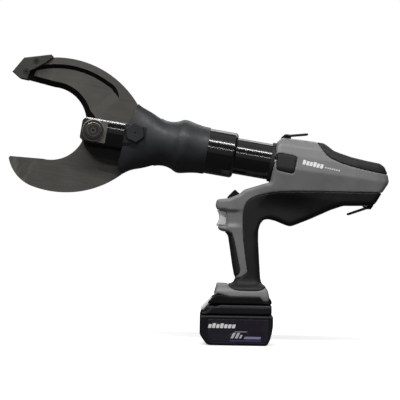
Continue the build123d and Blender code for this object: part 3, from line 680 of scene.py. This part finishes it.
# casing: wall, rounding of the edges at recesses and at the parting line, and how far each half
# reaches past the parting line
WALL, SEAM_EDGE, PARTING_EDGE, LAP = 4.8, 0.9, 0.5, 0.2
body_shell = cut(outer, shoe_pocket, edge=0.6)
for region in (grip_map, pad_map, strip_map, side_pad_map):
    recess = np.maximum(rows(region - SKIN_GAP), -(outer + SINK))
    body_shell = cut(body_shell, recess, SEAM_EDGE)
hollow = np.maximum(outer + WALL, -bosses)
body_shell = np.maximum(body_shell, -hollow)


def near_half(field):
    """The part of a field on the near side of the parting plane."""
    return keep_inside(field, solid_y - LAP, PARTING_EDGE)


def far_half(field):
    """The part of a field on the far side of the parting plane, with the screws' bores."""
    return cut(keep_inside(field, -solid_y - LAP, PARTING_EDGE), bores, PARTING_EDGE)


near_shell, far_shell = near_half(body_shell), far_half(body_shell)
surface("casing_near_half", casing, near_shell, "tool_body", casing_grey, ["casing_left"])
surface("casing_far_half", casing, far_shell, "tool_body", casing_grey, ["casing_right"])


def skin(region, proud=0.0):
    """Overmould that fills a region's recess, standing proud by that much."""
    sheet = keep_inside(outer - proud, rows(region + SKIN_INSET), SEAM_EDGE)
    return np.maximum(sheet, -(outer + SINK - SKIN_GAP))


def overmould(name, field, material, replaced):
    """Meshes one piece of the soft overmould."""
    surface(name, casing, field, "tool_body", material, [replaced])


grip = skin(grip_map)
overmould("grip_near", near_half(grip), soft_black, "grip_left")
overmould("grip_far", far_half(grip), soft_black, "grip_right")
overmould("rear_pad", skin(pad_map), pad_black, "top_pad")
overmould("front_strip", skin(strip_map), soft_black, "front_grip")
overmould("square_pads", skin(side_pad_map, 0.3), soft_black, "side_pads")


# ---- Prints -------------------------------------------------------------------------
def side_depth(grid, field):
    """A function that gives the near surface's y at points of the side view."""
    inside = field < 0
    first = np.argmax(inside, axis=1)
    hit = inside.any(axis=1)
    i, k = np.indices(first.shape)
    after = np.take_along_axis(field, first[:, None, :], axis=1)[:, 0, :]
    before = np.take_along_axis(field, np.maximum(first - 1, 0)[:, None, :], axis=1)[:, 0, :]
    share = before / np.where(np.abs(before - after) > 1e-6, before - after, 1)
    depth = grid.low[1] + (first - 1 + share) * grid.step
    depth = np.where(hit, depth, 0)

    def look(x, z):
        a = np.clip((np.asarray(x) - grid.low[0]) / grid.step, 0, depth.shape[0] - 1.001)
        b = np.clip((np.asarray(z) - grid.low[2]) / grid.step, 0, depth.shape[1] - 1.001)
        i, j = a.astype(int), b.astype(int)
        p, q = a - i, b - j
        return ((depth[i, j] * (1 - p) + depth[i + 1, j] * p) * (1 - q)
                + (depth[i, j + 1] * (1 - p) + depth[i + 1, j + 1] * p) * q)

    return look


PRINT_PROUD, PRINT_SUNK, PRINT_CORNER = 0.12, 0.25, 0.8


def bar_point(corners, run, rise):
    """A point of a bar, by its shares of length and height; the ends are rounded off."""
    a, b, c, d = corners
    end = min(run, 1 - run) * np.linalg.norm(b - a)
    half = np.linalg.norm(d - a) / 2
    corner = min(PRINT_CORNER, half)
    drop = corner - math.sqrt(max(0, corner * corner - max(0, corner - end) ** 2))
    rise = 0.5 + (rise - 0.5) * (1 - max(0, drop) / half)
    return (a * (1 - run) + b * run) * (1 - rise) + (d * (1 - run) + c * run) * rise


def print_bars(name, bars, depth, body, material):
    """Thin printed bars on both sides; each bar is its four corners, in order round it."""
    verts, faces = [], []
    across_n, along_n = 4, 16
    for sign in (-1, 1):
        for bar in bars:
            corners = [np.array(p, float) for p in bar]
            base = len(verts)
            for layer in (0, 1):
                for i in range(along_n + 1):
                    for j in range(across_n + 1):
                        x, z = bar_point(corners, i / along_n, j / across_n)
                        y = float(depth(x, z)) - (PRINT_PROUD if layer else -PRINT_SUNK)
                        verts.append(mm(x, y * -sign, z))
            size = (along_n + 1) * (across_n + 1)

            def at(layer, i, j):
                return base + layer * size + i * (across_n + 1) + j

            def quad(*q):
                faces.append(q if sign < 0 else q[::-1])

            for i in range(along_n):
                for j in range(across_n):
                    quad(at(1, i, j), at(1, i + 1, j), at(1, i + 1, j + 1), at(1, i, j + 1))
                    quad(at(0, i, j + 1), at(0, i + 1, j + 1), at(0, i + 1, j), at(0, i, j))
                quad(at(0, i, 0), at(0, i + 1, 0), at(1, i + 1, 0), at(1, i, 0))
                quad(at(1, i, across_n), at(1, i + 1, across_n), at(0, i + 1, across_n), at(0, i, across_n))
            for j in range(across_n):
                quad(at(0, 0, j + 1), at(0, 0, j), at(1, 0, j), at(1, 0, j + 1))
                quad(at(0, along_n, j), at(0, along_n, j + 1), at(1, along_n, j + 1), at(1, along_n, j))
    mesh = bpy.data.meshes.new(name)
    mesh.from_pydata(verts, [], faces)
    piece = bpy.data.objects.new(name, mesh)
    bpy.context.scene.collection.objects.link(piece)
    mesh.materials.append(material)
    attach(piece, body)


def slanted(x, z, length, height, lean=0.0, fall=-0.2):
    """Corners of a bar that starts at x, z and runs back along the barrel, falling a little."""
    end_z = z + fall * length
    return [(x, z), (x + length, end_z), (x + length + lean, end_z + height), (x + lean, z + height)]


casing_depth = side_depth(casing, outer)
bars = [slanted(96.5 + 5.4 * i, 281.4 - 1.1 * i, 4.3, 6.4 if i % 3 else 7.2, 2.2) for i in range(6)]
print_bars("casing_print", bars, casing_depth, "tool_body", print_white)
fine = [slanted(131.5 + 3.4 * i, 275.9 - 0.72 * i, 2.5, 2.4, 0.6) for i in range(7)]
print_bars("casing_print_fine", fine, casing_depth, "tool_body", print_grey)

# ---- Trigger and release button ----------------------------------------------------
small = Grid((-37, -16, 181), (-1, 16, 212), 0.6)
trigger_side = outline(small, [
    (-33.8, 208.4), (-31.6, 205.4), (-30.2, 201.5), (-29.6, 196), (-30.6, 191.5), (-32.6, 188),
    (-34.2, 185.4), (-33.4, 184.1), (-8, 184.1), (-8, 208.4),
], blur=0.5)
flange = block(small, (-8.2, -5), (185.6, 206.8), 13.3)
trigger_field = np.minimum(moulded(small, trigger_side, half_width=8.9, radius=3.0), flange)
surface("trigger_lever", small, trigger_field, "trigger_body", trigger_grey, ["trigger"])

small = Grid((-21, -11, 216), (4, 11, 243), 0.6)
button_side = outline(small, [
    (-14.4, 219), (-14.4, 226.4), (-18.2, 227.2), (-17.0, 229.8), (-13.2, 233.8), (-8.0, 239.2),
    (-6.0, 240.6), (-4.4, 240.2), (-2.0, 237.6), (1.4, 235.0), (1.0, 232.0), (-1.4, 230.0), (-1.4, 219),
], blur=0.5)
button_field = moulded(small, button_side, half_width=6.9, radius=1.4)
# thumb ribs across the slope
RIB_PITCH, RIB_HEIGHT = 2.6, 0.135
slope = (small.map_x + 14) * 0.7 + (small.map_z - 232) * 0.7
ribs = RIB_HEIGHT * np.cos(slope * 2 * math.pi / RIB_PITCH)
ribs = np.where((small.map_z > 230) & (small.map_x < -5), ribs, 0)
button_field = np.minimum(button_field - rows(ribs), block(small, (-17, 0), (218.6, 220.4), 8.5))
surface("pressure_release", small, button_field, "release_body", black_nylon,
        ["release_button"])

# ---- Battery ------------------------------------------------------------------------
pack_step = 0.9
pack = Grid((-60, -39.5, -1.5), (58.5, 39.5, 80), pack_step)
bx, bz, by = pack.map_x, pack.map_z, pack.all_y


def pack_surface(name, field, body, material, replaced):
    """Meshes one moulded piece of the battery or its shoe."""
    surface(name, pack, field, body, material, [replaced], relax=1)


tub_side = outline(pack, [
    (-57.4, 47.5), (-57.4, 18), (-54.5, 12.4), (-49, 4.6), (-45.5, 1.2), (-42, 0), (45, 0), (48.5, 2.6),
    (51.8, 9.4), (54.4, 20), (56, 30), (56, 44.6), (54.2, 47.5),
], blur=0.8)
tub_width = np.interp(bz, [0, 44, 48], [37.4, 37.4, 34.6])
tub_width = soften(tub_width, 0.7 / pack_step)
tub = moulded(pack, tub_side, tub_width, radius=3.2)
# the tub stops a thin gap below the lid, and the side panel is sunk for the label
TUB_TOP, PANEL_DEPTH = 47.55, 0.55
tub = np.maximum(tub, rows(bz - TUB_TOP))
# the side panel that the label fills
panel = outline(pack, [
    (-45.5, 41.5), (-46.6, 21), (-43.5, 12), (-38, 4.5), (47.5, 4.5), (49.6, 12), (50.4, 41.5),
], blur=0.9)
panel_cut = np.maximum(rows(panel), -(tub + PANEL_DEPTH))
tub = cut(tub, panel_cut, edge=0.4)
tub = np.maximum(tub, -block(pack, (-53, 51), (3.6, 60), 34))
pack_surface("battery_tub", tub, "battery", battery_black, "battery_case")

LABEL_GAP, LABEL_FACE, LABEL_BACK = 0.5, 37.0, 36.2
label = moulded(pack, panel + LABEL_GAP, LABEL_FACE, radius=0.4)
label = np.maximum(label, -(np.abs(by) - LABEL_BACK))
surface("battery_label", pack, label, "battery", label_violet, relax=1)

lid_side = outline(pack, [
    (-57, 48), (-56.8, 49.2), (-50.6, 56.6), (-46, 62), (-44, 63.35), (51.8, 63.35), (53.5, 61.8),
    (53.6, 50), (52.4, 48),
], blur=0.6)
lid_width = np.interp(bz, [48, 58, 62, 64], [36.3, 36.3, 34.6, 32.2])
# the sides step in beside the latch
cheek = outline(pack, [
    (-60, 46), (-47, 50.2), (-43.2, 53.6), (-37.4, 58.1), (-32, 60.1), (-27, 60.9), (-26, 66), (-60, 66),
], blur=0.5)
lid_width = lid_width - 2.6 * np.clip(-cheek / 1.2, 0, 1)
lid = moulded(pack, lid_side, soften(lid_width, 0.5 / pack_step), radius=1.8)
# the raised terminal block with its three slots, the hollow inside and the latch's bay
LATCH_BAY, SLOT_PLACES, SLOT_HALF = 14.6, (-12, 0, 12), 1.6
lid = np.minimum(lid, block(pack, (-32, 29), (60, 70.2), 19.9))
slots = np.min([np.abs(by - y) for y in SLOT_PLACES], axis=0) - SLOT_HALF
lid = np.maximum(lid, -np.maximum(rectangle(pack, (-20, 40), (65.4, 75)), slots))
lid = np.maximum(lid, -block(pack, (-46, 49.5), (40, 60.2), 32))
lid = cut(lid, block(pack, (-70, -43.3), (49.6, 70), LATCH_BAY), edge=0.5)
# a slanting seam on each side
SEAM_DEPTH, SEAM_HALF, SEAM_LOW, SEAM_HIGH = 0.6, 0.35, 49, 60.5
seam = np.abs((bx + 26.5) * 0.9 + (bz - 60.2) * 0.43) - SEAM_HALF
seam = np.maximum(np.maximum(seam, SEAM_LOW - bz), bz - SEAM_HIGH)
lid = cut(lid, np.maximum(rows(seam), -(lid + SEAM_DEPTH)), edge=0.3)
pack_surface("battery_lid", lid, "battery", battery_black, "battery_cover")

latch_side = outline(pack, [
    (-38.2, 73.2), (-39.4, 73.2), (-46, 66.8), (-55.3, 57.6), (-56.2, 55.4), (-55, 53.4), (-43.9, 53.3),
    (-43.9, 67.3), (-37.8, 67.3),
], blur=0.4)
latch = moulded(pack, latch_side, half_width=13.9, radius=1.6)
pack_surface("battery_button", latch, "latch", button_pale, "battery_latch")

shoe_side = outline(pack, [
    (-45.4, 64.1), (-44.6, 66.4), (-39.2, 73.2), (-36.4, 74.6), (-32, 77.6), (-24, 77.6), (-10, 75.2),
    (35.8, 75.2), (41.9, 66.8), (49.1, 66.8), (50.6, 73.2), (52.4, 71.2), (53.4, 68.4), (53.4, 64.1),
], blur=0.45)
shoe = moulded(pack, shoe_side, half_width=35.4, radius=1.2)
shoe = np.maximum(shoe, -block(pack, (-60, 30), (60, 71), 26.5))
shoe = np.maximum(shoe, -block(pack, (-60, -36.9), (60, 74), LATCH_BAY))
pack_surface("battery_dock", shoe, "tool_body", black_nylon, "battery_shoe")

flat = side_depth(pack, label)
label_bars = [
    slanted(-44.6 + 6.1 * i, 26.8, 4.9, 7.4 if i in (1, 3) else 6.0, 1.6, 0.0) for i in range(7)
]
print_bars("label_bar", label_bars, flat, "battery", print_white)
marks = [
    [(-17, 12.0), (-9.5, 17.8), (-7.8, 18.8), (-15.0, 13.6)],
    [(-9.6, 11.4), (-5.2, 11.4), (-1.2, 20.0), (-5.6, 20.0)],
    [(-3.0, 11.4), (1.4, 11.4), (5.4, 20.0), (1.0, 20.0)],
    [(3.6, 11.4), (6.8, 11.4), (9.4, 17.0), (6.2, 17.0)],
    [(-4.0, 21.2), (16.0, 21.2), (17.0, 21.9), (-3.0, 21.9)],
]
print_bars("label_marks", marks, flat, "battery", print_grey)
stripe = [(10.5, 10.5), (36.5, 10.5), (38.0, 14.2), (12.3, 14.2)]
print_bars("label_stripe", [stripe], flat, "battery", print_lilac)
low_band = [(-12, 6.2), (38, 6.2), (39.2, 9.2), (-10, 9.2)]
print_bars("label_band", [low_band], flat, "battery", print_violet)

# ---- Stage, light and camera --------------------------------------------------------
FLOOR_DROP = 0.4
floor_z = mm(0, 0, -FLOOR_DROP).z
bpy.ops.mesh.primitive_circle_add(vertices=96, radius=7, fill_type="NGON", location=(0, 0, floor_z))
floor = bpy.context.object
floor.name = "floor"
paper = Shader("paper", (0.8, 0.8, 0.8), 0.8)
paper.color(paper.ramp(paper.noise(3, detail=2), [(0.3, (0.78, 0.78, 0.78)), (0.7, (0.82, 0.82, 0.82))]))
# the sheet glows a little, and more away from the object, so that it meets the white surround;
# it throws only a little light back up
glow = paper.add("ShaderNodeEmission")
reach = paper.add("ShaderNodeVectorMath", operation="LENGTH")
paper.link(paper.place, reach.inputs[0])
paper.link(paper.spread(reach.outputs["Value"], 0.55, 1.0, 0.25, 1.3), glow.inputs["Strength"])
lit = paper.add("ShaderNodeAddShader")
paper.link(paper.bsdf.outputs[0], lit.inputs[0])
paper.link(glow.outputs[0], lit.inputs[1])
dim = paper.add("ShaderNodeBsdfDiffuse")
dim.inputs["Color"].default_value = (0.08, 0.08, 0.08, 1)
rays = paper.add("ShaderNodeLightPath")
shown = paper.add("ShaderNodeMixShader")
paper.link(rays.outputs["Is Camera Ray"], shown.inputs["Fac"])
paper.link(dim.outputs[0], shown.inputs[1])
paper.link(lit.outputs[0], shown.inputs[2])
paper.link(shown.outputs[0], paper.tree.nodes["Material Output"].inputs["Surface"])
floor.data.materials.append(paper.material)

world = bpy.data.worlds.new("studio")
bpy.context.scene.world = world
world.use_nodes = True
sky = world.node_tree
seen = sky.nodes["Background"]
seen.inputs["Color"].default_value = (1, 1, 1, 1)
seen.inputs["Strength"].default_value = 1.0
fill = sky.nodes.new("ShaderNodeBackground")
fill.inputs["Color"].default_value = (0.97, 0.98, 1, 1)
fill.inputs["Strength"].default_value = 0.07
choose = sky.nodes.new("ShaderNodeMixShader")
paths = sky.nodes.new("ShaderNodeLightPath")
sky.links.new(paths.outputs["Is Camera Ray"], choose.inputs["Fac"])
sky.links.new(fill.outputs[0], choose.inputs[1])
sky.links.new(seen.outputs[0], choose.inputs[2])
sky.links.new(choose.outputs[0], sky.nodes["World Output"].inputs["Surface"])
bpy.context.scene.view_settings.view_transform = "Standard"


def area_light(name, azimuth, elevation, distance, width, height, power, aim=(-60, 0, 240)):
    """A rectangular light; azimuth 0 is in front of the near side."""
    a, e = math.radians(azimuth), math.radians(elevation)
    back = Vector((math.sin(a) * math.cos(e), -math.cos(a) * math.cos(e), math.sin(e)))
    data = bpy.data.lights.new(name, "AREA")
    data.shape = "RECTANGLE"
    data.size, data.size_y, data.energy = width, height, power
    light = bpy.data.objects.new(name, data)
    light.location = mm(*aim) + back * distance
    light.rotation_mode = "QUATERNION"
    light.rotation_quaternion = back.to_track_quat("Z", "Y")
    bpy.context.scene.collection.objects.link(light)


# name, azimuth, elevation, distance, width, height and power; the two strips and the panel are
# what the gloss black cylinders mirror
area_light("key_strip", -12, 57.5, 1.7, 2.6, 0.05, 33)
area_light("front_strip", -8, 24, 2.0, 2.6, 0.021, 7)
area_light("front_panel", -8, 5, 2.1, 2.6, 0.75, 1.4)
area_light("overhead", 0, 86, 1.9, 2.6, 2.0, 8)
area_light("rim", 170, 40, 2.2, 2.4, 0.8, 14)

camera_data = bpy.data.cameras.new("camera")
camera = bpy.data.objects.new("camera", camera_data)
bpy.context.scene.collection.objects.link(camera)
bpy.context.scene.camera = camera
# square on to the near side, from far enough for a nearly parallel view
DISTANCE, VIEW_WIDTH, ROLL = 3.0, 0.624, math.radians(1.0)
SENSOR = 36
VIEW_CENTRE = (-60.1, 0, 223.6)
camera_data.sensor_width = SENSOR
camera_data.lens = SENSOR * DISTANCE / VIEW_WIDTH
c, s = math.cos(ROLL), math.sin(ROLL)
turn = Matrix(((c, -s, 0), (0, 0, -1), (s, c, 0)))
place = mm(*VIEW_CENTRE) + Vector((0, -DISTANCE, 0))
camera.matrix_world = Matrix.Translation(place) @ turn.to_4x4()
